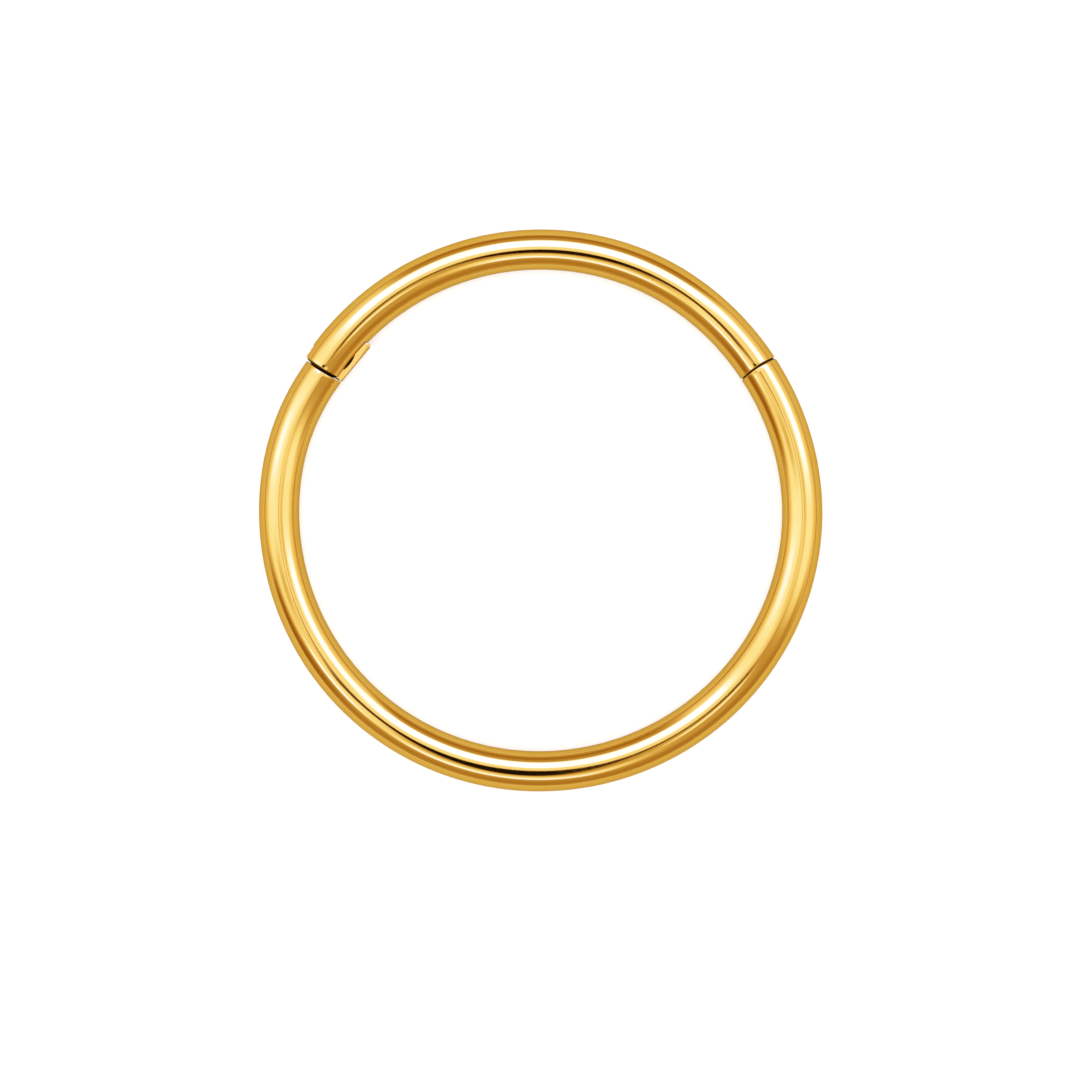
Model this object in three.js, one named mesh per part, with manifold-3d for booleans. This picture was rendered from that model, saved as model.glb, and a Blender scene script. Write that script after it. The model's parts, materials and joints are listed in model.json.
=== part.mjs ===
import * as THREE from 'three';
import { mergeVertices } from 'three/addons/utils/BufferGeometryUtils.js';
import Module from 'manifold-3d';

// A hinged segment ring of round wire, lying flat. Millimetres, +Z up.
// The ring's centre is on the Z axis and its underside is at Z = 0.

// Driving dimensions of the ring
const wireDiameter = 1.0;
const boreDiameter = 12.0;
const hingeAngle = 146.9; // degrees from +X, anticlockwise from above
const claspAngle = 33.2;
const hingeGap = 0.07;
const claspGap = 0.04;
const hingeBow = 0.03; // how far each joint's faces bulge towards -x of the joint's frame
const claspBow = 0.05;
const hoopDip = 0.1; // how far the hoop's wire bends in where it meets the hinge
const dipSpan = 26; // degrees of the hoop over which it bends in

// Driving dimensions of the hinge
const pinDiameter = 0.18;
const pinLength = 0.52;
const pinInset = 0.23; // pin axis to the gate's end face
const pinDepth = 0.23; // pin axis to the ring's outer side
const openAngle = 100; // how far the gate swings open, in degrees
const leafThickness = 0.3;
const leafLength = 1.15; // joint to the tip of the tail
const tailWidth = 0.2;
const tailProudAtTip = 0.13; // how far the tail's tip stands into the bore
const knuckleDiameter = 0.4;
const webWidth = 0.3; // the leaf's width beside the end face, below the pin
const stemLength = 0.6; // how deep the leaf is set into the hoop
const stemHeight = 0.5;

// Driving dimensions of the catch
const tongueWidth = 0.22;
const tongueThickness = 0.3;
const tongueReach = 0.35; // joint to the tongue's end in the hoop
const tongueRoot = 0.3; // joint to the tongue's end in the gate

// Clearances
const runningClearance = 0.03; // between pieces that move past each other
const fixedClearance = 0.02; // between pieces that stay together
const pinClearance = 0.02; // round the pin, on the radius
const cornerClearance = 0.01; // between the gate's swinging corner and the hoop

// How finely the round forms are faceted
const wireSides = 20;
const ringSteps = 72;
const roundSides = 16;
const bowSides = 8;

const wireRadius = wireDiameter / 2;
const centreRadius = (boreDiameter + wireDiameter) / 2;
const boreRadius = boreDiameter / 2;
const middle = wireRadius; // height of the wire's centre
const beyond = 2 * wireDiameter; // how far a cut runs past the wire

// Both joints have a frame of their own in the plane of the ring. Its x runs clockwise along
// the wire, its y outwards, and its origin is on the wire's centre line in mid-gap.
// At the hinge the gate has positive x, at the clasp it has negative x.
const pinX = hingeGap / 2 + pinInset;
const pinY = wireRadius - pinDepth;
const knuckleRadius = knuckleDiameter / 2;
const leafStart = fixedClearance - hingeGap / 2;
const webEnd = leafStart + webWidth;
const stemTop = stemHeight / 2 - hoopDip;
const stemBottom = -stemHeight / 2 - hoopDip;

// The tail is a straight bar on the gate's inner side, flush with the hoop where it starts,
// with a round tip.
const tipX = leafLength - tailWidth / 2;
const tailStart = new THREE.Vector2(leafStart, -wireRadius - hoopDip);
const tailEnd = new THREE.Vector2(tipX, boreHeight(tipX) - tailProudAtTip);
const tailAngle = tailEnd.clone().sub(tailStart).angle() - 2 * Math.PI;
const tailSide = new THREE.Vector2(-Math.sin(tailAngle), Math.cos(tailAngle));

const wasm = await Module();
wasm.setup();

const gold = new THREE.MeshStandardMaterial({ color: 0xd8a844, roughness: 0.12, metalness: 1 });
const steel = new THREE.MeshStandardMaterial({ color: 0xb9b4a8, roughness: 0.25, metalness: 1 });

// The bore's y at a given x of the hinge's frame.
function boreHeight(x) {
  return Math.sqrt(boreRadius ** 2 - x ** 2) - centreRadius;
}

function jointCentre(angle) {
  const turn = THREE.MathUtils.degToRad(angle);
  return new THREE.Vector2(centreRadius * Math.cos(turn), centreRadius * Math.sin(turn));
}

// A closed geometry as a solid that can be joined and cut.
function solidOf(geometry) {
  geometry.deleteAttribute('normal');
  geometry.deleteAttribute('uv');
  const merged = mergeVertices(geometry, 1e-5);
  const vertProperties = new Float32Array(merged.attributes.position.array);
  const triVerts = new Uint32Array(merged.index.array);
  return new wasm.Manifold(new wasm.Mesh({ numProp: 3, vertProperties, triVerts }));
}

// A flat outline made as thick as asked, centred on the wire's middle height.
function plate(shape, thickness, curveSegments = roundSides / 2) {
  const geometry = new THREE.ExtrudeGeometry(shape, {
    depth: thickness,
    bevelEnabled: false,
    curveSegments,
  });
  return geometry.translate(0, 0, middle - thickness / 2);
}

// The same, with the outline given in a joint's frame.
function plateAtJoint(angle, shape, thickness, curveSegments) {
  const centre = jointCentre(angle);
  const geometry = plate(shape, thickness, curveSegments);
  geometry.rotateZ(THREE.MathUtils.degToRad(angle - 90));
  return solidOf(geometry.translate(centre.x, centre.y, 0));
}

function rectangle(left, bottom, right, top) {
  const shape = new THREE.Shape();
  shape.moveTo(left, bottom);
  shape.lineTo(right, bottom);
  shape.lineTo(right, top);
  shape.lineTo(left, top);
  shape.closePath();
  return shape;
}

function disc(x, y, radius) {
  return new THREE.Shape().absarc(x, y, radius, 0, 2 * Math.PI, false);
}

// The whole ring before it is parted: a wire section with flats at its top, bottom and sides.
function wholeRing() {
  const profile = [];
  const cornerRadius = wireRadius / Math.cos(Math.PI / wireSides);
  for (let side = 0; side <= wireSides; side += 1) {
    const turn = ((side % wireSides) + 0.5) * (2 * Math.PI / wireSides);
    profile.push(new THREE.Vector2(
      centreRadius + cornerRadius * Math.cos(turn),
      cornerRadius * Math.sin(turn),
    ));
  }
  const geometry = new THREE.LatheGeometry(profile, ringSteps);
  geometry.rotateX(Math.PI / 2);
  return geometry.translate(0, 0, middle);
}

// The ring that the hoop is cut from: its wire bends in a little towards the hinge.
function dippedRing() {
  const geometry = wholeRing();
  const points = geometry.attributes.position;
  const span = THREE.MathUtils.degToRad(dipSpan);
  const hinge = THREE.MathUtils.degToRad(hingeAngle);
  for (let index = 0; index < points.count; index += 1) {
    const x = points.getX(index);
    const y = points.getY(index);
    const past = THREE.MathUtils.euclideanModulo(Math.atan2(y, x) - hinge + Math.PI, 2 * Math.PI);
    const share = Math.max(0, 1 - Math.abs(past - Math.PI) / span);
    const scale = 1 - (hoopDip * share ** 2) / Math.hypot(x, y);
    points.setXY(index, x * scale, y * scale);
  }
  return geometry;
}

// A block with a joint's bowed face on its -x side, x being the place of that face's rims.
function bowedBlock(angle, x, bow) {
  const radius = (wireRadius ** 2 + bow ** 2) / (2 * bow);
  const half = Math.asin(wireRadius / radius);
  const shape = new THREE.Shape();
  shape.absarc(x - bow + radius, 0, radius, Math.PI + half, Math.PI - half, true);
  shape.lineTo(x + wireRadius, wireRadius);
  shape.lineTo(x + wireRadius, -wireRadius);
  shape.closePath();
  return plateAtJoint(angle, shape, wireDiameter + beyond, bowSides / 2);
}

// The sector that holds the gate, its sides moved into the gate by the two insets.
function gateSector(hingeInset, claspInset) {
  const hinge = THREE.MathUtils.degToRad(hingeAngle);
  const clasp = THREE.MathUtils.degToRad(claspAngle);
  const reach = 2 * (centreRadius + beyond);
  const apex = new THREE.Vector2(
    hingeInset * Math.cos(clasp) + claspInset * Math.cos(hinge),
    hingeInset * Math.sin(clasp) + claspInset * Math.sin(hinge),
  ).divideScalar(Math.sin(hinge - clasp));
  const shape = new THREE.Shape();
  shape.moveTo(apex.x, apex.y);
  for (const turn of [clasp, (clasp + hinge) / 2, hinge]) {
    shape.lineTo(apex.x + reach * Math.cos(turn), apex.y + reach * Math.sin(turn));
  }
  shape.closePath();
  return solidOf(plate(shape, wireDiameter + beyond))
    .add(bowedBlock(hingeAngle, hingeInset, hingeBow))
    .subtract(bowedBlock(claspAngle, -claspInset, claspBow));
}

// The leaf's outline: a stem set in the hoop, a knuckle round the pin, and the tail.
function leafShape() {
  const shape = new THREE.Shape();
  shape.moveTo(-stemLength, stemBottom);
  shape.lineTo(leafStart, stemBottom);
  shape.lineTo(tailStart.x, tailStart.y);
  shape.lineTo(tailEnd.x, tailEnd.y);
  const tipCentre = tailEnd.clone().addScaledVector(tailSide, tailWidth / 2);
  shape.absarc(tipCentre.x, tipCentre.y, tailWidth / 2,
    tailAngle - Math.PI / 2, tailAngle + Math.PI / 2, false);
  shape.lineTo(webEnd, tailTop(webEnd));
  const webTurn = Math.acos((webEnd - pinX) / knuckleRadius);
  shape.absarc(pinX, pinY, knuckleRadius, -webTurn, Math.PI / 2, false);
  shape.lineTo(leafStart, stemTop);
  shape.lineTo(-stemLength, stemTop);
  shape.closePath();
  shape.holes.push(disc(pinX, pinY, pinDiameter / 2 + pinClearance));
  return shape;
}

// The tail's outer edge at a given x of the hinge's frame.
function tailTop(x) {
  return tailStart.y + (x - tailStart.x) * Math.tan(tailAngle) + tailWidth / Math.cos(tailAngle);
}

// The room in the gate for the leaf, at rest and while the gate swings open.
function leafSlot() {
  const thickness = leafThickness + 2 * runningClearance;
  const room = knuckleRadius + runningClearance;
  const front = rectangle(-beyond, -beyond, webEnd + runningClearance, beyond);
  const knuckle = disc(pinX, pinY, room);
  const tail = new THREE.Shape();
  const tailLimit = leafLength + runningClearance;
  tail.moveTo(-beyond, -beyond);
  tail.lineTo(tailLimit, -beyond);
  tail.lineTo(tailLimit, tailTop(tailLimit) + runningClearance);
  tail.lineTo(webEnd, tailTop(webEnd) + runningClearance);
  tail.lineTo(-beyond, tailTop(webEnd) + runningClearance);
  tail.closePath();
  const neck = new THREE.Shape();
  const turn = Math.PI - THREE.MathUtils.degToRad(openAngle);
  const along = new THREE.Vector2(Math.cos(turn), Math.sin(turn));
  const across = new THREE.Vector2(Math.sin(turn), -Math.cos(turn));
  const side = new THREE.Vector2(pinX, pinY).addScaledVector(across, room);
  neck.moveTo(pinX, pinY);
  neck.lineTo(side.x, side.y);
  neck.lineTo(side.x + beyond * along.x, side.y + beyond * along.y);
  neck.lineTo(pinX + beyond * along.x, pinY + beyond * along.y);
  neck.closePath();
  return [front, knuckle, tail, neck]
    .map((shape) => plateAtJoint(hingeAngle, shape, thickness))
    .reduce((whole, next) => whole.add(next));
}

// What comes off the gate's outer corner, so that it turns clear of the hoop's end.
function gateCorner() {
  const radius = pinInset + hingeGap - cornerClearance;
  const shape = new THREE.Shape();
  shape.moveTo(pinX - radius, pinY);
  shape.lineTo(pinX - beyond, pinY);
  shape.lineTo(pinX - beyond, pinY + beyond);
  shape.lineTo(pinX, pinY + beyond);
  shape.lineTo(pinX, pinY + radius);
  shape.absarc(pinX, pinY, radius, Math.PI / 2, Math.PI, false);
  return plateAtJoint(hingeAngle, shape, wireDiameter + beyond);
}

// The pin's axis in the ring's own frame.
function pinAxis() {
  const turn = THREE.MathUtils.degToRad(hingeAngle - 90);
  return new THREE.Vector2(pinX, pinY).rotateAround(new THREE.Vector2(), turn)
    .add(jointCentre(hingeAngle));
}

// A bar across the clasp, curved about the pin's axis so that it leaves the hoop freely.
function catchBar(clearance) {
  const axis = pinAxis();
  const clasp = jointCentre(claspAngle).sub(axis);
  const radius = clasp.length();
  const outer = radius + tongueWidth / 2 + clearance;
  const inner = radius - tongueWidth / 2 - clearance;
  const turn = Math.atan2(clasp.y, clasp.x);
  const start = turn - (tongueReach + clearance) / radius;
  const end = turn + (tongueRoot + clearance) / radius;
  const shape = new THREE.Shape();
  shape.absarc(axis.x, axis.y, outer, start, end, false);
  shape.absarc(axis.x, axis.y, inner, end, start, true);
  shape.closePath();
  return solidOf(plate(shape, tongueThickness + 2 * clearance, 2));
}

function hoopArc() {
  const socket = rectangle(
    -stemLength - fixedClearance,
    stemBottom - fixedClearance,
    beyond,
    stemTop + fixedClearance,
  );
  return solidOf(dippedRing())
    .subtract(gateSector(-hingeGap / 2, -claspGap / 2))
    .subtract(plateAtJoint(hingeAngle, socket, leafThickness + 2 * fixedClearance))
    .subtract(catchBar(runningClearance));
}

function gateSegment() {
  const socket = disc(pinX, pinY, pinDiameter / 2 + pinClearance);
  return solidOf(wholeRing())
    .intersect(gateSector(hingeGap / 2, claspGap / 2))
    .subtract(gateCorner())
    .subtract(leafSlot())
    .subtract(plateAtJoint(hingeAngle, socket, pinLength + 2 * fixedClearance))
    .subtract(catchBar(fixedClearance));
}

function hingeLeaf() {
  return plateAtJoint(hingeAngle, leafShape(), leafThickness);
}

function hingePin() {
  const shape = disc(pinX, pinY, pinDiameter / 2);
  return plateAtJoint(hingeAngle, shape, pinLength);
}

function namedMesh(name, solid, material, origin) {
  const { vertProperties, triVerts } = solid.getMesh();
  const geometry = new THREE.BufferGeometry();
  geometry.setAttribute('position', new THREE.BufferAttribute(vertProperties, 3));
  geometry.setIndex(new THREE.BufferAttribute(triVerts, 1));
  geometry.translate(-origin.x, -origin.y, 0);
  geometry.computeVertexNormals();
  const mesh = new THREE.Mesh(geometry, material);
  mesh.name = name;
  return mesh;
}

const ringOrigin = new THREE.Vector2();

const hoop = new THREE.Group();
hoop.name = 'hoop';
hoop.add(namedMesh('hoop_arc', hoopArc(), gold, ringOrigin));
hoop.add(namedMesh('hinge_leaf', hingeLeaf(), gold, ringOrigin));

// The gate's group stands on the pin's axis, about which it swings.
const gate = new THREE.Group();
const axis = pinAxis();
gate.name = 'gate';
gate.position.set(axis.x, axis.y, 0);
gate.add(namedMesh('gate_segment', gateSegment(), gold, axis));
gate.add(namedMesh('hinge_pin', hingePin(), steel, axis));
gate.add(namedMesh('catch_tongue', catchBar(0), gold, axis));

const segmentRing = new THREE.Group();
segmentRing.name = 'segment_ring';
segmentRing.add(hoop, gate);

export default segmentRing;
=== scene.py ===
"""A hinged segment ring of polished gold wire, lying flat on a pale studio floor.

The ring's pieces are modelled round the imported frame: the hoop and the gate as fine round wire with
rounded rims, the leaf of the hinge with its small relief, the hinge pin and the catch's tongue.
"""

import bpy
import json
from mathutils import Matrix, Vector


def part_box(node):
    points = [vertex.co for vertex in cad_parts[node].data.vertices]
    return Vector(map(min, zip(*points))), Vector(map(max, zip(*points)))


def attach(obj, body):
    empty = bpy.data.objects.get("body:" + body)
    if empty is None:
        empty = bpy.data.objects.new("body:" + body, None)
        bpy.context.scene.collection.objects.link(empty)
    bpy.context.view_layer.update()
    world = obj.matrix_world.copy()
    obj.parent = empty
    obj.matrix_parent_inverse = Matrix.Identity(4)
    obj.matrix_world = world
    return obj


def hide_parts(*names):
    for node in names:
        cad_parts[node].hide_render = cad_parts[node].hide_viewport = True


bl_info = {
    "name": "Segment Ring",
    "version": (1, 0, 0),
    "blender": (4, 5, 0),
    "location": "3D View > Sidebar > Segment Ring",
    "description": "Builds a hinged segment ring of polished gold wire and the studio it is shown in",
    "category": "Add Mesh",
}

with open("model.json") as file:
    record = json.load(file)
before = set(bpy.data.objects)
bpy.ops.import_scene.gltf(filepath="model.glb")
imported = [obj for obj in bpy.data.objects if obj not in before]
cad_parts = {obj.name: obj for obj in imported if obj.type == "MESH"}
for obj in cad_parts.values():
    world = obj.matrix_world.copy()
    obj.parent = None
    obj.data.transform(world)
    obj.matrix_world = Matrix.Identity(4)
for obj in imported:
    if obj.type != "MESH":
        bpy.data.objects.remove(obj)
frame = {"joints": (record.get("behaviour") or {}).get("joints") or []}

import json
import math

import bmesh
import bpy
from mathutils import Matrix, Vector

# faces in this slot are near-black: painted shade inside the joints' gaps and recesses, on unpolished metal
INNER_SHADE_SLOT = 1  # the material slot of faces inside the joints
MM = 0.001
HAIR = 0.001 * MM  # keeps the faces of two cutters from lying in one plane
TOUCHING = 1e-9  # vertices nearer than this are one
FLAT_FACES = 16  # the sharp angle that keeps a plate's faces flat inside their rounded edges
ROUND_EDGES = 35  # the sharp angle that lets a wire's rounded rims shade smooth
RIM_STEPS = 5  # steps round a wire's rounded rim
END_RINGS = (0.98, 0.93, 0.85, 0.73, 0.55, 0.35, 0.15)  # the rings of a wire's end face, as shares of it
ROUND_SIDES = 48  # sides of the pin, its hole and the knuckle's room
UP = Vector((0, 0, 1))

# What the frame says of the ring and its hinge
HOOP_LOW, HOOP_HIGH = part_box("hoop_arc")
LEAF_LOW, LEAF_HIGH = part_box("hinge_leaf")
PIN_LOW, PIN_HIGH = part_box("hinge_pin")
TONGUE_LOW, TONGUE_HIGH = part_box("catch_tongue")
GATE_HINGE = frame["joints"][0]
PIN_AXIS = Vector((GATE_HINGE["pos_m"][0], GATE_HINGE["pos_m"][1], 0))


def length(name, description, millimetres):
    """A length property whose default is given in millimetres."""
    return bpy.props.FloatProperty(
        name=name, description=description, default=millimetres * MM,
        min=0.0, unit="LENGTH", subtype="DISTANCE", precision=6)


def angle(name, description, degrees):
    """An angle property whose default is given in degrees."""
    return bpy.props.FloatProperty(
        name=name, description=description, default=math.radians(degrees), subtype="ANGLE")


def share(name, description, value, high=1.0):
    """A plain number property from zero up."""
    return bpy.props.FloatProperty(
        name=name, description=description, default=value, min=0.0, max=high)


def colour(name, description, value):
    """A colour property in linear light."""
    return bpy.props.FloatVectorProperty(
        name=name, description=description, default=value, size=3, min=0.0, max=4.0, subtype="COLOR")


class WireSizes(bpy.types.PropertyGroup):
    """The wire and how the ring is parted."""

    wire: length("Wire", "Diameter of the wire", (HOOP_HIGH.z - HOOP_LOW.z) / MM)
    outside: length("Outside", "Diameter over the ring", 2 * HOOP_HIGH.x / MM)
    hinge_angle: angle("Hinge", "Where the hinge's joint is, from +X", 146.9)
    clasp_angle: angle("Clasp", "Where the clasp's joint is, from +X", 33.2)
    hinge_gap: length("Hinge gap", "Gap between the end faces at the hinge", 0.07)
    clasp_gap: length("Clasp gap", "Gap between the end faces at the clasp", 0.04)
    hinge_bow: length("Hinge bow", "How far the faces at the hinge bulge", 0.03)
    clasp_bow: length("Clasp bow", "How far the faces at the clasp bulge", 0.05)
    dome: length(
        "Dome", "How far the end faces bulge at the wire's core, so that no light comes through", 0.11)
    dip: length("Dip", "How far the hoop's wire bends in at the hinge", 0.1)
    dip_span: angle("Dip span", "Stretch of the hoop that bends in", 26)
    rim: length("Rim", "Radius of the rounded rims at the joints", 0.028)
    sink_at_clasp: length("Sink at the clasp", "How far the wire runs inside its circle at the clasp", 0.04)
    clasp_span: angle("Clasp span", "Stretch of the wire that runs inside its circle at the clasp", 40)
    sink_below: length("Sink below", "How far the wire runs inside its circle at the bottom", 0.045)
    below: angle("Below", "Where the wire runs furthest inside its circle at the bottom, from +X", 285)
    below_span: angle("Below span", "Stretch of the wire that does", 70)
    worn_depth: length("Worn depth", "How much polishing has taken off the wire's top at the bottom", 0.0055)
    worn_width: length("Worn width", "Width of what polishing has flattened", 0.07)
    worn_side: length("Worn side", "How far that lies from the wire's middle", 0.035)
    worn: angle("Worn", "Where polishing has taken off the most, from +X", 267)
    worn_span: angle("Worn span", "Stretch of the wire that polishing has flattened", 42)
    sides: bpy.props.IntProperty(name="Sides", description="Sides of the wire's section", default=96, min=12)
    step: angle("Step", "Turn between two sections of the wire", 0.75)


class HingeSizes(bpy.types.PropertyGroup):
    """The leaf, the pin and the room that they have in the gate."""

    leaf_thickness: length("Leaf thickness", "Height of the leaf", (LEAF_HIGH.z - LEAF_LOW.z) / MM)
    leaf_length: length("Leaf length", "From the joint to the tip of the tail", 1.15)
    tail_width: length("Tail width", "Width of the straight tail", 0.2)
    tip_proud: length("Tip proud", "How far the tail's tip stands into the bore", 0.13)
    web_width: length("Web width", "Width of the leaf below the pin", 0.3)
    stem_length: length("Stem length", "How deep the leaf is set into the hoop", 0.6)
    stem_height: length("Stem height", "Width of the leaf in the hoop", 0.5)
    knuckle: length("Knuckle", "Diameter of the leaf round the pin", 0.4)
    pin: length("Pin", "Diameter of the pin", 0.18)
    mouth_length: length("Mouth length", "How far the slot's mouth eases into the gate's outer side", 0.45)
    running: length("Running clearance", "Room between pieces that move past each other", 0.03)
    fixed: length("Fixed clearance", "Room between pieces that stay together", 0.02)
    corner: length("Corner clearance", "Room for the gate's swinging corner", 0.01)
    edge: length("Edge", "Radius of the leaf's rounded edges", 0.03)
    # the relief's faces take the near-black inner material: painted shade of a dark lens beside the gate
    relief_start: length("Relief start", "Where the leaf's dark relief starts, from the joint", 0.27)
    relief_end: length("Relief end", "Where the relief ends", 0.82)
    relief_width: length("Relief width", "Width of the relief", 0.052)
    relief_depth: length("Relief depth", "Depth of the relief", 0.11)


class CatchSizes(bpy.types.PropertyGroup):
    """The tongue that holds the gate shut."""

    width: length("Tongue width", "Width of the tongue", 0.22)
    thickness: length("Tongue thickness", "Height of the tongue", (TONGUE_HIGH.z - TONGUE_LOW.z) / MM)
    reach: length("Reach", "How far the tongue goes into the hoop", 0.35)
    root: length("Root", "How far the tongue goes into the gate", 0.3)


class GoldFinish(bpy.types.PropertyGroup):
    """The polished gold plating and the steel of the pin."""

    gold: colour("Gold", "Colour of the plating", (0.99, 0.57, 0.088))
    deep_gold: colour("Deep gold", "Colour of the plating where it is a little warmer", (0.97, 0.54, 0.075))
    glancing: colour("Glancing gold", "Tint of the plating seen at a glancing angle", (1.0, 0.84, 0.45))
    # the unpolished colour is near-black: painted shade inside the joints and recesses, on metal whose
    # unpolished finish shows in its roughness
    unpolished: colour("Unpolished", "Colour of the unpolished metal inside the joints", (0.06, 0.025, 0.003))
    steel: colour("Steel", "Colour of the pin", (0.62, 0.6, 0.56))
    roughness: share("Roughness", "Roughness of the polished plating", 0.06)
    wear: share("Wear", "How much rougher the plating is where it is handled", 0.05)
    waves: length("Waves", "Height of the slow waves that polishing by hand leaves", 0.011)
    scratches: length("Scratches", "Height of the finest polishing marks", 0.00012)


class StudioSetup(bpy.types.PropertyGroup):
    """The floor, the lights and the camera."""

    floor_size: length("Floor", "Width of the floor", 1200)
    camera_height: length("Camera height", "Height of the camera over the floor", 200)
    field: length("Field", "Width of what the camera sees on the ring's middle plane", 26.83)
    aim_x: bpy.props.FloatProperty(
        name="Aim X", description="Where the camera stands over the floor",
        default=-0.018 * MM, unit="LENGTH")
    aim_y: bpy.props.FloatProperty(
        name="Aim Y", description="Where the camera stands over the floor",
        default=-0.715 * MM, unit="LENGTH")
    floor_colour: colour("Floor colour", "Colour of the floor", (0.8, 0.8, 0.8))
    # the floor as the gold mirrors it is a darker colour everywhere: painted shade standing in for the ring's
    # shade on the floor
    mirrored_floor_painted_shade: colour("Mirrored floor", "Colour of the floor in the gold, where the ring shades it",
                           (0.339, 0.339, 0.339))
    fill: share("Fill", "Strength of the even light on the floor", 2.1, 4.0)


# The room as the gold mirrors it, in degrees: the side it stands on, from +X, half its width, its lowest
# and highest distance from straight above, how soft its sides and its ends are, and how bright it is
ROOM_BRIGHTNESS = 0.83
SOFTBOXES = (
    ("low room", 90, 200, 70, 200, 5, 16, 0.69),
    ("near side", 272, 62, 10, 200, 10, 6, 0.57),
    ("near side, low", 270, 64, 57, 200, 8, 10, 0.45),
    ("dark corner", 206, 14, 60, 120, 9, 17, 0.33),
    ("left reflector", 223, 15, 14, 44, 8, 7, 0.87),
    ("right reflector", 310, 12, 19, 30, 6, 5, 0.93),
    ("right flag", 334, 9, 12, 75, 9, 9, 0.5),
    ("near strip", 262, 32, 27, 45, 9, 5, 0.83),
    ("near spot", 262, 23, 39, 48, 6, 4, 0.99),
    ("near edge", 219, 10, 34, 45, 5, 3, 0.98),
    ("right wall", 2, 26, 18, 58, 12, 12, 0.9),
    ("left wall", 166, 25, 0, 62, 12, 12, 0.91),
    ("left strip", 164, 9, 28, 56, 6, 9, 0.975),
    ("left gap", 196, 6, 14, 34, 6, 5, 0.68),
    ("right gap", 0, 14, 12, 22, 9, 4, 0.76),
    ("far softbox", 93, 46, 15, 52, 7, 4, 1.0),
    ("right softbox", 33, 25, 26, 56, 8, 6, 0.99),
    ("far wall", 88, 35, 55, 200, 6, 4, 0.52),
    ("far wall, low", 84, 34, 70, 200, 6, 8, 0.38),
    ("skirting", 90, 200, 84, 200, 5, 2, 0.52),
    ("ceiling", 90, 78, 3, 12, 12, 3, 0.85),
    ("right seam", 12, 14, 10, 14, 6, 2, 0.66),
)

# The camera over the ring: a dark arch and the lens behind it, in degrees towards +X and +Y. The arch's
# edge is soft by ARCH_SOFT degrees, and the lens fades between two shares of its size
ARCH_NORTH, ARCH_BEND, ARCH_WIDTH, ARCH_REACH = -5.5, 0.03, 2.0, 14.0
ARCH_SOFT = 1
LENS_EAST, LENS_NORTH, LENS_WIDTH, LENS_HEIGHT = -1.5, -10.5, 5, 9.5
LENS_CORE, LENS_RIM = 0.75, 1.25

# The light's colour from the darkest to the brightest
LIGHT_COLOURS = (
    (0.0, (0.003, 0.001, 0.0)),
    (1.0, (1.05, 1.85, 12.0)),
    (0.08, (0.07, 0.014, 0.007)),
    (0.26, (0.22, 0.1, 0.035)),
    (0.35, (0.34, 0.18, 0.05)),
    (0.43, (0.41, 0.28, 0.12)),
    (0.5, (0.51, 0.38, 0.25)),
    (0.58, (0.6, 0.53, 0.45)),
    (0.65, (0.7, 0.67, 0.7)),
    (0.74, (0.85, 0.91, 1.2)),
    (0.81, (0.95, 1.1, 1.8)),
    (0.89, (1.0, 1.36, 3.2)),
    (0.94, (1.02, 1.56, 5.5)),
)

# How fine the finishes' patterns are, in waves to the metre
CLOUDS, GRAIN, SWELL = 420.0, 9000.0, 330.0
INNER_GRAIN, STEEL_GRAIN = 12000.0, 20000.0
STEEL_DRAWN = 0.05  # how much the steel's grain is stretched along the pin

# The roughness of the unpolished metal and of the steel, and how far their grain adds to it
INNER_ROUGHNESS, INNER_UNEVEN = 0.45, 0.2
STEEL_ROUGHNESS, STEEL_UNEVEN = 0.22, 0.12

PROPERTY_GROUPS = (WireSizes, HingeSizes, CatchSizes, GoldFinish, StudioSetup)


def joint_frame(turn, centre_radius):
    """The matrix of a joint's own frame: x clockwise along the wire, y outwards, origin in mid-gap."""
    place = Matrix.Rotation(turn, 4, "Z") @ Matrix.Translation((centre_radius, 0, 0))
    return place @ Matrix.Rotation(-math.pi / 2, 4, "Z")


class Ring:
    """The sizes that several pieces share, worked out from the properties."""

    def __init__(self, scene):
        self.wire = scene.ring_wire
        self.hinge = scene.ring_hinge
        self.catch = scene.ring_catch
        wire, hinge = self.wire, self.hinge
        self.radius = wire.wire / 2
        self.centre = (wire.outside - wire.wire) / 2
        self.bore = self.centre - self.radius
        self.middle = self.radius
        self.beyond = 2 * wire.wire
        self.hinge_frame = joint_frame(wire.hinge_angle, self.centre)
        self.clasp_frame = joint_frame(wire.clasp_angle, self.centre)
        self.pin = self.hinge_frame.inverted() @ PIN_AXIS
        self.leaf_start = hinge.fixed - wire.hinge_gap / 2
        self.web_end = self.leaf_start + hinge.web_width
        self.knuckle = hinge.knuckle / 2
        self.stem_top = hinge.stem_height / 2 - wire.dip
        self.stem_bottom = -hinge.stem_height / 2 - wire.dip
        tip_x = hinge.leaf_length - hinge.tail_width / 2
        tip_y = math.sqrt(self.bore ** 2 - tip_x ** 2) - self.centre - hinge.tip_proud
        self.tail_start = Vector((self.leaf_start, -self.radius - wire.dip))
        self.tail_end = Vector((tip_x, tip_y))
        tail = self.tail_end - self.tail_start
        self.tail_angle = math.atan2(tail.y, tail.x)

    def tail_top(self, x):
        """The tail's outer edge at a given x of the hinge's frame."""
        rise = (x - self.tail_start.x) * math.tan(self.tail_angle)
        return self.tail_start.y + rise + self.hinge.tail_width / math.cos(self.tail_angle)


def arc(x, y, radius, start, end, steps=12):
    """Points along an arc, from one angle to another in radians."""
    turns = [start + (end - start) * step / steps for step in range(steps + 1)]
    return [Vector((x + radius * math.cos(turn), y + radius * math.sin(turn))) for turn in turns]


def rectangle(left, bottom, right, top):
    """The corners of a rectangle."""
    return [Vector(corner) for corner in ((left, bottom), (right, bottom), (right, top), (left, top))]


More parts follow.
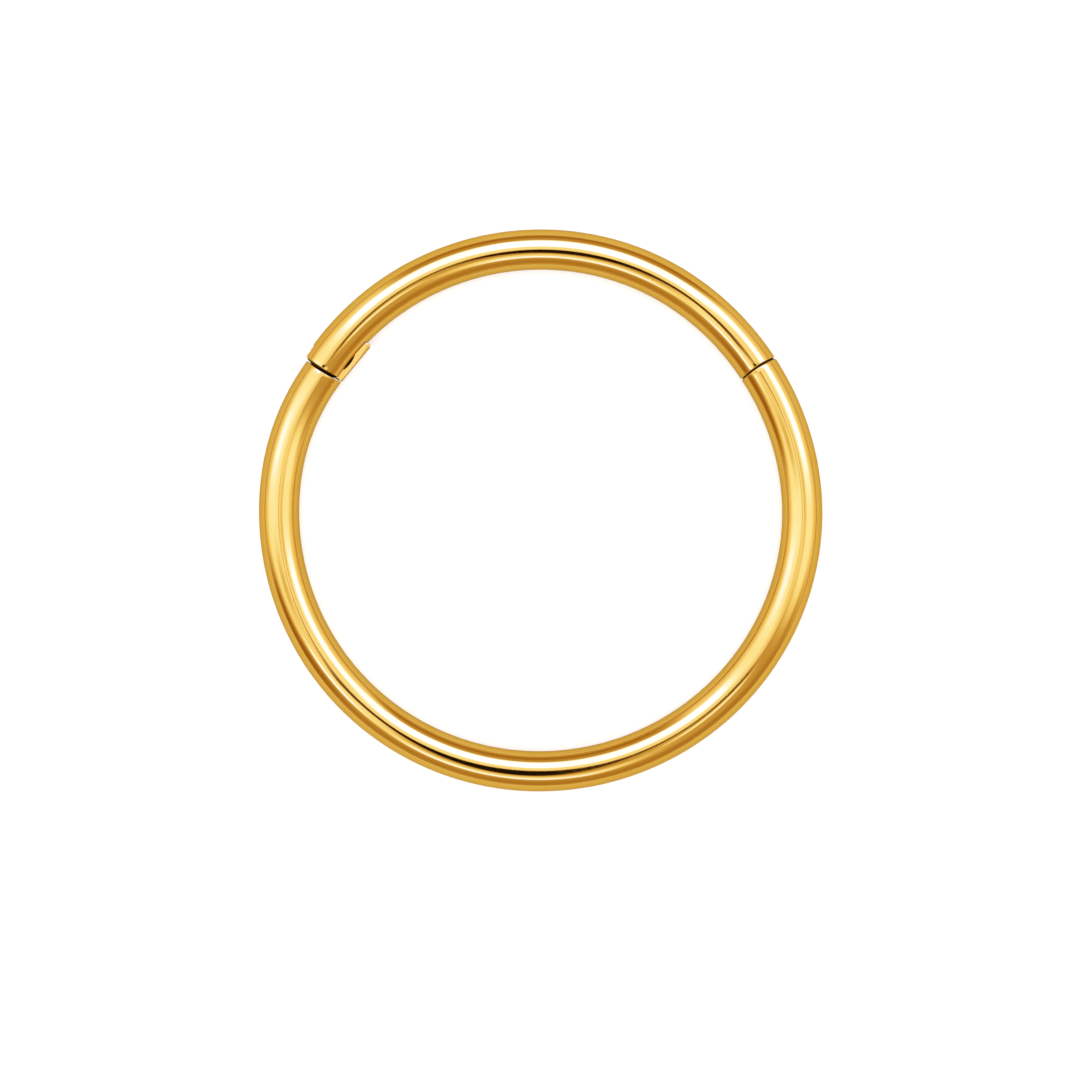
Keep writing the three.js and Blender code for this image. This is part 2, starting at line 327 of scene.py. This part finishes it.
def add_plate(bm, outline, low, high, matrix):
    """Extrudes a flat outline from one height to another and places it by a matrix."""
    verts = [bm.verts.new((point.x, point.y, low)) for point in outline]
    face = bm.faces.new(verts)
    made = bmesh.ops.extrude_face_region(bm, geom=[face])["geom"]
    lifted = [item for item in made if isinstance(item, bmesh.types.BMVert)]
    bmesh.ops.translate(bm, verts=lifted, vec=(0, 0, high - low))
    bmesh.ops.transform(bm, matrix=matrix, verts=verts + lifted)


def add_rod(bm, radius, low, high, x, y, matrix):
    """Adds an upright cylinder at a place in a joint's frame."""
    place = matrix @ Matrix.Translation((x, y, (low + high) / 2))
    bmesh.ops.create_cone(bm, cap_ends=True, segments=ROUND_SIDES, radius1=radius, radius2=radius,
                          depth=high - low, matrix=place)


def tidy(bm):
    """Merges doubles and turns every face outwards."""
    bmesh.ops.remove_doubles(bm, verts=bm.verts, dist=TOUCHING)
    bmesh.ops.recalc_face_normals(bm, faces=bm.faces)


def object_from(bm, name, *materials):
    """Turns a bmesh into an object at the origin, with its place in its mesh."""
    mesh = bpy.data.meshes.new(name)
    bm.to_mesh(mesh)
    bm.free()
    for material in materials:
        mesh.materials.append(material)
    made = bpy.data.objects.new(name, mesh)
    bpy.context.scene.collection.objects.link(made)
    return made


def cut(piece, cutters):
    """Takes the cutters' shapes out of a piece, one after another, and removes the cutters. The cut faces
    take the near-black inner material, painted shade inside the joints.
    """
    for cutter in cutters:
        for face in cutter.data.polygons:
            face.material_index = INNER_SHADE_SLOT
        modifier = piece.modifiers.new("cut", "BOOLEAN")
        modifier.operation = "DIFFERENCE"
        modifier.solver = "EXACT"
        modifier.object = cutter
        evaluated = piece.evaluated_get(bpy.context.evaluated_depsgraph_get())
        mesh = bpy.data.meshes.new_from_object(evaluated)
        piece.modifiers.clear()
        old = piece.data
        piece.data = mesh
        bpy.data.meshes.remove(old)
        bpy.data.objects.remove(cutter)


def shade(piece, sharp=ROUND_EDGES):
    """Shades a piece smooth, with edges left sharp past an angle in degrees."""
    bm = bmesh.new()
    bm.from_mesh(piece.data)
    for face in bm.faces:
        face.smooth = True
    for edge in bm.edges:
        edge.smooth = len(edge.link_faces) == 2 and edge.calc_face_angle(0) < math.radians(sharp)
    bm.to_mesh(piece.data)
    bm.free()


def boundary_loops(bm):
    """The open rims of a tube, each as a list of edges."""
    rest = {edge for edge in bm.edges if edge.is_boundary}
    loops = []
    while rest:
        loop = [rest.pop()]
        for edge in loop:
            near = {other for vert in edge.verts for other in vert.link_edges if other in rest}
            loop.extend(near)
            rest -= near
        loops.append(loop)
    return loops


def close_rim(bm, loop, rim, radius):
    """Closes a tube's end with a rounded rim and a flat face made of narrowing rings, the flat face in the
    near-black inner material as painted shade of the joint's gap.
    """
    verts = {vert for edge in loop for vert in edge.verts}
    centre = sum((vert.co for vert in verts), Vector()) / len(verts)
    near = next(iter(verts))
    behind = next(edge.other_vert(near) for edge in near.link_edges if edge not in loop)
    along = Vector((centre.y, -centre.x, 0)).normalized()
    outward = along * math.copysign(1, along.dot(near.co - behind.co))
    turns = [math.pi / 2 * step / RIM_STEPS for step in range(1, RIM_STEPS + 1)]
    steps = [(rim * math.sin(turn), radius - rim * (1 - math.cos(turn))) for turn in turns]
    steps += [(rim, (radius - rim) * reach) for reach in END_RINGS]
    edges, size, moved = list(loop), radius, 0.0
    for count, (out, reach) in enumerate(steps):
        made = bmesh.ops.extrude_edge_only(bm, edges=edges)["geom"]
        for item in made:
            if isinstance(item, bmesh.types.BMFace) and count >= RIM_STEPS:
                item.material_index = INNER_SHADE_SLOT
        new = [item for item in made if isinstance(item, bmesh.types.BMVert)]
        edges = [item for item in made if isinstance(item, bmesh.types.BMEdge)
                 and item.verts[0] in new and item.verts[1] in new]
        for vert in new:
            away = vert.co - centre - outward * moved
            vert.co = centre + away * (reach / size) + outward * out
        size, moved = reach, out
    bmesh.ops.contextual_create(bm, geom=edges, mat_nr=INNER_SHADE_SLOT)


def wire_between(ring, name, start, end):
    """A stretch of round wire along the ring with both ends closed, start and end in radians."""
    wire = ring.wire
    bm = bmesh.new()
    section = Matrix.Translation((0, 0, ring.middle)) @ Matrix.Rotation(start, 4, "Z")
    section = section @ Matrix.Translation((ring.centre, 0, 0)) @ Matrix.Rotation(math.pi / 2, 4, "X")
    circle = bmesh.ops.create_circle(
        bm, cap_ends=False, radius=ring.radius, segments=wire.sides, matrix=section)
    edges = list({edge for vert in circle["verts"] for edge in vert.link_edges})
    steps = math.ceil((end - start) / wire.step)
    bmesh.ops.spin(bm, geom=circle["verts"] + edges, cent=(0, 0, 0), axis=UP, angle=end - start,
                   steps=steps, use_merge=False, use_duplicate=False)
    for loop in boundary_loops(bm):
        close_rim(bm, loop, wire.rim, ring.radius)
    tidy(bm)
    return bm


def bend_faces(ring, bm):
    """Bows the end faces at both joints, sliding the wire's skin along itself near them."""
    wire = ring.wire
    fade = 2 * wire.wire
    for matrix, bow in ((ring.hinge_frame, wire.hinge_bow), (ring.clasp_frame, wire.clasp_bow)):
        inverse = matrix.inverted()
        for vert in bm.verts:
            local = inverse @ vert.co
            if abs(local.x) > fade or local.y < -ring.beyond:
                continue
            across = (vert.co.xy.length - ring.centre) / ring.radius
            above = (vert.co.z - ring.middle) / ring.radius
            flat = 1 - wire.rim / ring.radius
            core = 1 - (across ** 2 + above ** 2) / flat ** 2
            slide = bow * max(0.0, 1 - across ** 2) + wire.dome * math.sqrt(max(0.0, core))
            fall = (1 - abs(local.x) / fade) ** 2
            vert.co.rotate(Matrix.Rotation(slide * fall / ring.centre, 3, "Z"))


def nearness(vert, at, span):
    """How near a vertex is to one turn of the ring: 1 there, and 0 from the span onwards."""
    turn = math.atan2(vert.co.y, vert.co.x) - at
    turn = (turn + math.pi) % (2 * math.pi) - math.pi
    return max(0.0, 1 - abs(turn) / span)


def eased(near):
    """A share from 0 to 1 with a soft start and end."""
    return near * near * (3 - 2 * near)


def sink(bm, at, span, depth):
    """Bends the wire in a little about one turn of the ring, fading out on both sides."""
    for vert in bm.verts:
        scale = 1 - depth * eased(nearness(vert, at, span)) / vert.co.xy.length
        vert.co.x *= scale
        vert.co.y *= scale


def flatten(ring, bm):
    """Takes a shallow flat off the top of the wire at the bottom of the ring."""
    wire = ring.wire
    for vert in bm.verts:
        near = eased(nearness(vert, wire.worn, wire.worn_span))
        away = (vert.co.xy.length - ring.centre + wire.sink_below - wire.worn_side) / wire.worn_width
        if vert.co.z > ring.middle:
            vert.co.z -= wire.worn_depth * near * math.exp(-away * away / 2)


def bend_wire(ring, bm):
    """Gives the wire the slight unevenness of a ring that was bent and closed by hand."""
    wire = ring.wire
    sink(bm, wire.clasp_angle, wire.clasp_span, wire.sink_at_clasp)
    sink(bm, wire.below, wire.below_span, wire.sink_below)
    flatten(ring, bm)


def dip_hoop(ring, bm):
    """Bends the hoop's wire in a little towards the hinge."""
    wire = ring.wire
    for vert in bm.verts:
        near = nearness(vert, wire.hinge_angle, wire.dip_span)
        scale = 1 - wire.dip * near ** 2 / vert.co.xy.length
        vert.co.x *= scale
        vert.co.y *= scale


def round_corner(ring, bm):
    """Draws the gate's outer corner at the hinge in, so that it turns clear of the hoop."""
    wire, hinge = ring.wire, ring.hinge
    limit = ring.pin.x + wire.hinge_gap / 2 - hinge.corner
    inverse = ring.hinge_frame.inverted()
    for vert in bm.verts:
        local = inverse @ vert.co
        away = (local - ring.pin).xy
        if away.x < 0 < away.y and away.length > limit:
            away *= limit / away.length
            local.x, local.y = ring.pin.x + away.x, ring.pin.y + away.y
            vert.co = ring.hinge_frame @ local


def gap_turns(ring):
    """The turns at which the gate's and the hoop's end faces stand, in radians."""
    wire = ring.wire
    hinge_half = wire.hinge_gap / 2 / ring.centre
    clasp_half = wire.clasp_gap / 2 / ring.centre
    rim = wire.rim / ring.centre
    gate = (wire.clasp_angle + clasp_half + rim, wire.hinge_angle - hinge_half - rim)
    hoop = (wire.hinge_angle + hinge_half + rim, wire.clasp_angle - clasp_half - rim + 2 * math.pi)
    return gate, hoop


def leaf_outline(ring):
    """The leaf: a stem set in the hoop, a knuckle round the pin, and the straight tail."""
    hinge = ring.hinge
    side = Vector((-math.sin(ring.tail_angle), math.cos(ring.tail_angle)))
    tip = ring.tail_end + side * hinge.tail_width / 2
    web_turn = math.acos((ring.web_end - ring.pin.x) / ring.knuckle)
    points = [Vector((-hinge.stem_length, ring.stem_bottom)), Vector((ring.leaf_start, ring.stem_bottom))]
    points += [ring.tail_start]
    points += arc(tip.x, tip.y, hinge.tail_width / 2,
                  ring.tail_angle - math.pi / 2, ring.tail_angle + math.pi / 2)
    points += [Vector((ring.web_end, ring.tail_top(ring.web_end)))]
    points += arc(ring.pin.x, ring.pin.y, ring.knuckle, -web_turn, math.pi / 2, 24)
    points += [Vector((ring.leaf_start, ring.stem_top)), Vector((-hinge.stem_length, ring.stem_top))]
    return points


def plate_piece(ring, name, outline, thickness, matrix, *materials):
    """A plate of its own, centred on the wire's middle height."""
    bm = bmesh.new()
    add_plate(bm, outline, ring.middle - thickness / 2, ring.middle + thickness / 2, matrix)
    tidy(bm)
    return object_from(bm, name, *materials)


def slot_cutters(ring):
    """The room in the gate for the leaf, at rest and while the gate swings open."""
    hinge = ring.hinge
    thickness = hinge.leaf_thickness + 2 * hinge.running
    room = ring.knuckle + hinge.running
    far = ring.beyond
    front = ring.web_end + hinge.running
    mouth = math.sqrt(ring.radius ** 2 - thickness ** 2 / 4)
    limit = hinge.leaf_length + hinge.running
    top = ring.tail_top(ring.web_end) + hinge.running
    tail = [Vector((-far, -far)), Vector((limit, -far)),
            Vector((limit, ring.tail_top(limit) + hinge.running)),
            Vector((ring.web_end, top)), Vector((-far, top))]
    eased_mouth = [Vector((front - hinge.running, mouth)),
                   Vector((front + hinge.mouth_length, ring.radius + hinge.running)),
                   Vector((front - hinge.running, far))]
    last = ROUND_SIDES - 1
    outlines = {
        "front": rectangle(-far, -far, front, far),
        "mouth": eased_mouth,
        "knuckle": arc(ring.pin.x, ring.pin.y, room, 0, 2 * math.pi * last / ROUND_SIDES, last),
        "tail": tail,
    }
    return [plate_piece(ring, "slot_" + part, outline, thickness + place * HAIR, ring.hinge_frame)
            for place, (part, outline) in enumerate(outlines.items())]


def tongue_outline(ring, clearance):
    """A bar across the clasp, curved about the pin's axis so that it leaves the hoop freely."""
    catch = ring.catch
    clasp = ring.clasp_frame.translation - PIN_AXIS
    radius = clasp.xy.length
    turn = math.atan2(clasp.y, clasp.x)
    start = turn - (catch.reach + clearance) / radius
    end = turn + (catch.root + clearance) / radius
    half = catch.width / 2 + clearance
    return (arc(PIN_AXIS.x, PIN_AXIS.y, radius + half, start, end, 8)
            + arc(PIN_AXIS.x, PIN_AXIS.y, radius - half, end, start, 8))


def tongue_piece(ring, name, clearance, *materials):
    """The tongue, or with a clearance the recess for it."""
    thickness = ring.catch.thickness + 2 * clearance
    return plate_piece(ring, name, tongue_outline(ring, clearance), thickness, Matrix(), *materials)


def soften(piece, width, segments=3):
    """Rounds the edges of a plate's or a rod's upper and lower face."""
    bm = bmesh.new()
    bm.from_mesh(piece.data)
    low, high = (pick(vert.co.z for vert in bm.verts) for pick in (min, max))
    rims = [edge for edge in bm.edges for end in (low, high)
            if abs(edge.verts[0].co.z - end) + abs(edge.verts[1].co.z - end) < TOUCHING]
    bmesh.ops.bevel(bm, geom=rims, offset=width, offset_type="OFFSET", segments=segments, profile=0.5,
                    affect="EDGES", clamp_overlap=True, material=-1)
    bmesh.ops.recalc_face_normals(bm, faces=bm.faces)
    bm.to_mesh(piece.data)
    bm.free()


class Wire:
    """A node socket that Python's operators can be used on. Each one adds a Math node."""

    def __init__(self, tree, socket):
        self.tree = tree
        self.socket = socket

    def math(self, operation, *others):
        node = self.tree.tree.nodes.new("ShaderNodeMath")
        node.operation = operation
        for place, value in enumerate((self, *others)):
            self.tree.feed(node.inputs[place], value)
        return Wire(self.tree, node.outputs[0])

    def __add__(self, other):
        return self.math("ADD", other)

    def __radd__(self, other):
        return self.math("ADD", other)

    def __mul__(self, other):
        return self.math("MULTIPLY", other)

    def __rmul__(self, other):
        return self.math("MULTIPLY", other)

    def __sub__(self, other):
        return self.math("SUBTRACT", other)

    def __rsub__(self, other):
        return (self * -1.0).math("ADD", other)

    def __truediv__(self, other):
        return self.math("DIVIDE", other)

    def __abs__(self):
        return self.math("ABSOLUTE")


class Tree:
    """A node tree and the one method that adds any other node to it."""

    def __init__(self, owner):
        owner.use_nodes = True
        self.tree = owner.node_tree
        self.tree.nodes.clear()

    def feed(self, socket, value):
        if isinstance(value, Wire):
            self.tree.links.new(value.socket, socket)
        elif hasattr(value, "__len__") and len(value) == 3 and len(socket.default_value) == 4:
            socket.default_value = (*value, 1.0)
        else:
            socket.default_value = value

    def node(self, kind, settings=None, output=0, **sockets):
        """Adds a node: first its settings, then its sockets' values or links, by name or as in0, in1."""
        made = self.tree.nodes.new(kind)
        for name, value in (settings or {}).items():
            setattr(made, name, value)
        for name, value in sockets.items():
            numbered = name.startswith("in") and name[2:].isdigit()
            self.feed(made.inputs[int(name[2:]) if numbered else name.replace("_", " ")], value)
        return Wire(self, made.outputs[output]) if made.outputs else None

    def mix(self, factor, below, above):
        """One colour laid over another."""
        return self.node("ShaderNodeMix", {"data_type": "RGBA"}, output=2, in0=factor, in6=below, in7=above)


def smooth_step(tree, value, low, high):
    """0 below low, 1 above high, and an even slope between them."""
    return tree.node("ShaderNodeMapRange", {"interpolation_type": "SMOOTHSTEP"},
                     Value=value, From_Min=low, From_Max=high)


def gold_material(scene, name, wave_height):
    """Polished gold plating: faint warmth, slow waves, a trace of wear and the finest polishing marks."""
    finish = scene.ring_finish
    material = bpy.data.materials.new(name)
    tree = Tree(material)
    where = tree.node("ShaderNodeTexCoord", output=3)
    clouds = tree.node("ShaderNodeTexNoise", Vector=where, Scale=CLOUDS, Detail=3.0)
    grain = tree.node("ShaderNodeTexNoise", Vector=where, Scale=GRAIN, Detail=4.0)
    swell = tree.node("ShaderNodeTexNoise", Vector=where, Scale=SWELL, Detail=0.0)
    tint = tree.mix(smooth_step(tree, clouds, 0.35, 0.7), finish.gold, finish.deep_gold)
    rough = finish.roughness + finish.wear * smooth_step(tree, clouds * 0.6 + grain * 0.4, 0.45, 0.75)
    waves = tree.node("ShaderNodeBump", Height=swell, Strength=1.0, Distance=wave_height)
    marks = tree.node("ShaderNodeBump", Height=grain, Strength=1.0, Distance=finish.scratches, Normal=waves)
    shader = tree.node("ShaderNodeBsdfPrincipled", Base_Color=tint, Metallic=1.0, Roughness=rough,
                       Specular_Tint=finish.glancing, Normal=marks)
    tree.node("ShaderNodeOutputMaterial", Surface=shader)
    return material


def inner_painted_shade_material(scene, name):
    """Unpolished metal inside the joints, dulled, and darkened with painted shade of the gaps and recesses.
    """
    finish = scene.ring_finish
    material = bpy.data.materials.new(name)
    tree = Tree(material)
    where = tree.node("ShaderNodeTexCoord", output=3)
    grain = tree.node("ShaderNodeTexNoise", Vector=where, Scale=INNER_GRAIN, Detail=3.0)
    shader = tree.node("ShaderNodeBsdfPrincipled", Base_Color=finish.unpolished, Metallic=1.0,
                       Roughness=INNER_ROUGHNESS + INNER_UNEVEN * grain)
    tree.node("ShaderNodeOutputMaterial", Surface=shader)
    return material


def steel_material(scene):
    """Plain drawn steel with faint lines along the pin."""
    finish = scene.ring_finish
    material = bpy.data.materials.new("drawn_steel")
    tree = Tree(material)
    where = tree.node("ShaderNodeTexCoord", output=3)
    lines = tree.node("ShaderNodeMapping", Vector=where, Scale=(1.0, 1.0, STEEL_DRAWN))
    grain = tree.node("ShaderNodeTexNoise", Vector=lines, Scale=STEEL_GRAIN, Detail=2.0)
    marks = tree.node("ShaderNodeBump", Height=grain, Strength=0.2, Distance=1e-6)
    shader = tree.node("ShaderNodeBsdfPrincipled", Base_Color=finish.steel, Metallic=1.0,
                       Roughness=STEEL_ROUGHNESS + STEEL_UNEVEN * grain, Normal=marks)
    tree.node("ShaderNodeOutputMaterial", Surface=shader)
    return material


def finish_piece(piece, body, node):
    """Gives a piece its body, and lets it stand for its CAD node."""
    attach(piece, body)
    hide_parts(node)


def golds(scene, name="polished_gold"):
    """A polished gold and the unpolished one inside the joints, darkened with painted shade, made when they
    are first asked for.
    """
    known = bpy.data.materials
    wave_height = scene.ring_finish.waves if name == "polished_gold" else 0.0
    return (known.get(name) or gold_material(scene, name, wave_height),
            known.get("unpolished_gold") or inner_painted_shade_material(scene, "unpolished_gold"))


class RING_OT_hoop(bpy.types.Operator):
    """Make the long arc of wire, with the pocket for the leaf and the recess for the catch"""

    bl_idname = "ring.hoop"
    bl_label = "Hoop"

    def execute(self, context):
        ring = Ring(context.scene)
        hinge = ring.hinge
        start, end = gap_turns(ring)[1]
        bm = wire_between(ring, "hoop_wire", start, end)
        bend_faces(ring, bm)
        bend_wire(ring, bm)
        dip_hoop(ring, bm)
        piece = object_from(bm, "hoop_wire", *golds(context.scene))
        pocket = rectangle(-hinge.stem_length - hinge.fixed, ring.stem_bottom - hinge.fixed,
                           ring.beyond, ring.stem_top + hinge.fixed)
        room = hinge.leaf_thickness + 2 * hinge.fixed
        cut(piece, [
            plate_piece(ring, "leaf_pocket", pocket, room, ring.hinge_frame),
            tongue_piece(ring, "catch_recess", hinge.running),
        ])
        shade(piece)
        finish_piece(piece, "hoop", "hoop_arc")
        return {"FINISHED"}


class RING_OT_gate(bpy.types.Operator):
    """Make the short arc of wire that swings open, with its slot for the leaf and its sockets"""

    bl_idname = "ring.gate"
    bl_label = "Gate"

    def execute(self, context):
        ring = Ring(context.scene)
        hinge = ring.hinge
        start, end = gap_turns(ring)[0]
        bm = wire_between(ring, "gate_wire", start, end)
        bend_faces(ring, bm)
        bend_wire(ring, bm)
        round_corner(ring, bm)
        piece = object_from(bm, "gate_wire", *golds(context.scene))
        bm = bmesh.new()
        add_rod(bm, hinge.pin / 2 + hinge.fixed, PIN_LOW.z - hinge.fixed, PIN_HIGH.z + hinge.fixed,
                ring.pin.x, ring.pin.y, ring.hinge_frame)
        sockets = object_from(bm, "pin_sockets")
        cut(piece, [*slot_cutters(ring), sockets, tongue_piece(ring, "tongue_socket", hinge.fixed)])
        shade(piece)
        finish_piece(piece, "gate", "gate_segment")
        return {"FINISHED"}


class RING_OT_hinge(bpy.types.Operator):
    """Make the hinge's leaf, which shows inside the ring, and the pin through it"""

    bl_idname = "ring.hinge"
    bl_label = "Hinge leaf and pin"

    def execute(self, context):
        ring = Ring(context.scene)
        hinge = ring.hinge
        leaf = plate_piece(ring, "leaf", leaf_outline(ring), hinge.leaf_thickness, ring.hinge_frame,
                           *golds(context.scene, "machined_gold"))
        soften(leaf, hinge.edge)
        bm = bmesh.new()
        add_rod(bm, hinge.pin / 2 + hinge.fixed, -ring.beyond, ring.beyond,
                ring.pin.x, ring.pin.y, ring.hinge_frame)
        hole = object_from(bm, "pin_hole")
        cut(leaf, [hole, self.relief(ring)])
        shade(leaf, FLAT_FACES)
        finish_piece(leaf, "hoop", "hinge_leaf")

        bm = bmesh.new()
        add_rod(bm, hinge.pin / 2, PIN_LOW.z, PIN_HIGH.z, ring.pin.x, ring.pin.y, ring.hinge_frame)
        pin = object_from(bm, "pin", steel_material(context.scene))
        soften(pin, hinge.fixed)
        shade(pin, FLAT_FACES)
        finish_piece(pin, "gate", "hinge_pin")
        return {"FINISHED"}

    def relief(self, ring):
        """A lens-shaped relief beside the gate's inner side, in the leaf's upper face, its faces near-black
        with painted shade.
        """
        hinge = ring.hinge
        half = (hinge.relief_end - hinge.relief_start) / 2
        centre_x = (hinge.relief_end + hinge.relief_start) / 2
        slot = hinge.leaf_thickness / 2 + hinge.running
        edge = ring.centre - math.sqrt(ring.radius ** 2 - slot ** 2)
        edge_y = math.sqrt(edge ** 2 - centre_x ** 2) - ring.centre
        width = hinge.relief_width
        radius = (half ** 2 + width ** 2) / (2 * width)
        turn = math.asin(half / radius)
        outline = arc(centre_x, edge_y - width + radius, radius, -math.pi / 2 - turn, -math.pi / 2 + turn)
        far_y = edge_y + 2 * width
        outline += [Vector((centre_x + half, far_y)), Vector((centre_x - half, far_y))]
        top = ring.middle + hinge.leaf_thickness / 2
        bm = bmesh.new()
        add_plate(bm, outline, top - hinge.relief_depth, top + hinge.relief_depth, ring.hinge_frame)
        tidy(bm)
        return object_from(bm, "relief")


class RING_OT_catch(bpy.types.Operator):
    """Make the tongue that holds the gate shut"""

    bl_idname = "ring.catch"
    bl_label = "Catch tongue"

    def execute(self, context):
        ring = Ring(context.scene)
        tongue = tongue_piece(ring, "tongue", 0, *golds(context.scene, "machined_gold"))
        soften(tongue, ring.hinge.fixed)
        shade(tongue, FLAT_FACES)
        finish_piece(tongue, "gate", "catch_tongue")
        return {"FINISHED"}


class RING_OT_studio(bpy.types.Operator):
    """Make the pale floor, the soft studio light and the camera"""

    bl_idname = "ring.studio"
    bl_label = "Studio"

    def execute(self, context):
        scene = context.scene
        setup = scene.ring_studio
        self.floor(scene, setup)
        self.light(scene, setup)
        self.camera(scene, setup)
        scene.view_settings.view_transform = "Standard"
        return {"FINISHED"}

    def floor(self, scene, setup):
        bm = bmesh.new()
        bmesh.ops.create_grid(bm, x_segments=1, y_segments=1, size=setup.floor_size / 2)
        floor = object_from(bm, "floor")
        material = bpy.data.materials.new("pale_floor")
        tree = Tree(material)
        # rays that the gold mirrors see the darker floor colour, painted shade of the ring on the floor
        mirrored = tree.node("ShaderNodeLightPath", output=3)
        tint = tree.mix(mirrored, setup.floor_colour, setup.mirrored_floor_painted_shade)
        shader = tree.node("ShaderNodeBsdfPrincipled", Base_Color=tint, Roughness=0.9)
        tree.node("ShaderNodeOutputMaterial", Surface=shader)
        floor.data.materials.append(material)

    def light(self, scene, setup):
        """Softboxes and flags painted by direction, for what the gold mirrors. The floor has even light."""
        world = bpy.data.worlds.new("studio")
        scene.world = world
        tree = Tree(world)
        where = tree.node("ShaderNodeTexCoord", output=0)
        split = tree.node("ShaderNodeSeparateXYZ", Vector=where)
        x, y, z = (Wire(tree, split.socket.node.outputs[place]) for place in range(3))
        flat = (x * x + y * y).math("SQRT") + 1e-6
        polar = flat.math("ARCTAN2", z) * math.degrees(1)
        azimuth = y.math("ARCTAN2", x) * math.degrees(1)
        brightness = ROOM_BRIGHTNESS
        for box in SOFTBOXES:
            side, spread, low, high, soft_side, soft_height, value = box[1:]
            away = abs((azimuth - (side - 180)).math("FLOORED_MODULO", 360.0) - 180)
            mask = (1 - smooth_step(tree, away, spread - soft_side, spread + soft_side)) \
                * smooth_step(tree, polar, low - soft_height, low + soft_height) \
                * (1 - smooth_step(tree, polar, high - soft_height, high + soft_height))
            brightness = brightness + (value - brightness) * mask
        east, north = polar * x / flat, polar * y / flat
        width = ARCH_WIDTH - east * east * (ARCH_WIDTH / ARCH_REACH ** 2)
        away = abs(north - ARCH_NORTH + east * east * ARCH_BEND) - width
        arch = 1 - smooth_step(tree, away, -ARCH_SOFT, ARCH_SOFT)
        across, along = (east - LENS_EAST) / LENS_WIDTH, (north - LENS_NORTH) / LENS_HEIGHT
        out = (across * across + along * along).math("SQRT")
        lens = 1 - smooth_step(tree, out, LENS_CORE, LENS_RIM)
        brightness = brightness * (1 - arch.math("MAXIMUM", lens))
        ramp = tree.node("ShaderNodeValToRGB", Fac=brightness)
        stops = ramp.socket.node.color_ramp.elements
        for place, (position, tint) in enumerate(LIGHT_COLOURS):
            stop = stops[place] if place < 2 else stops.new(position)
            stop.position, stop.color = position, (*tint, 1.0)
        camera_ray = tree.node("ShaderNodeLightPath", output=0)
        mirrored = tree.node("ShaderNodeLightPath", output=3)
        plain = tree.mix(camera_ray, (setup.fill,) * 3, (1.0, 1.0, 1.0))
        shader = tree.node("ShaderNodeBackground", Color=tree.mix(mirrored, plain, ramp), Strength=1.0)
        tree.node("ShaderNodeOutputWorld", Surface=shader)

    def camera(self, scene, setup):
        data = bpy.data.cameras.new("camera")
        camera = bpy.data.objects.new("camera", data)
        scene.collection.objects.link(camera)
        scene.camera = camera
        middle = scene.ring_wire.wire / 2
        camera.location = (setup.aim_x, setup.aim_y, setup.camera_height)
        data.lens = data.sensor_width * (setup.camera_height - middle) / setup.field
        data.clip_start = setup.camera_height / 100
        data.clip_end = 10 * setup.floor_size


class RING_PT_panel(bpy.types.Panel):
    """The sidebar panel that lists the ring's operators"""

    bl_label = "Segment Ring"
    bl_idname = "RING_PT_panel"
    bl_space_type = "VIEW_3D"
    bl_region_type = "UI"
    bl_category = "Segment Ring"

    def draw(self, context):
        for operator in OPERATORS:
            self.layout.operator(operator.bl_idname)
        for name in SCENE_PROPERTIES:
            group = getattr(context.scene, name)
            box = self.layout.box()
            for key in group.__annotations__:
                box.prop(group, key)


OPERATORS = (RING_OT_hoop, RING_OT_gate, RING_OT_hinge, RING_OT_catch, RING_OT_studio)
CLASSES = (*PROPERTY_GROUPS, *OPERATORS, RING_PT_panel)
SCENE_PROPERTIES = {
    "ring_wire": WireSizes,
    "ring_hinge": HingeSizes,
    "ring_catch": CatchSizes,
    "ring_finish": GoldFinish,
    "ring_studio": StudioSetup,
}


def register():
    for cls in CLASSES:
        bpy.utils.register_class(cls)
    for name, group in SCENE_PROPERTIES.items():
        setattr(bpy.types.Scene, name, bpy.props.PointerProperty(type=group))


def unregister():
    for name in SCENE_PROPERTIES:
        delattr(bpy.types.Scene, name)
    for cls in reversed(CLASSES):
        bpy.utils.unregister_class(cls)


def main():
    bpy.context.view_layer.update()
    register()
    bpy.ops.ring.hoop()
    bpy.ops.ring.gate()
    bpy.ops.ring.hinge()
    bpy.ops.ring.catch()
    bpy.ops.ring.studio()


if __name__ == "__main__":
    main()
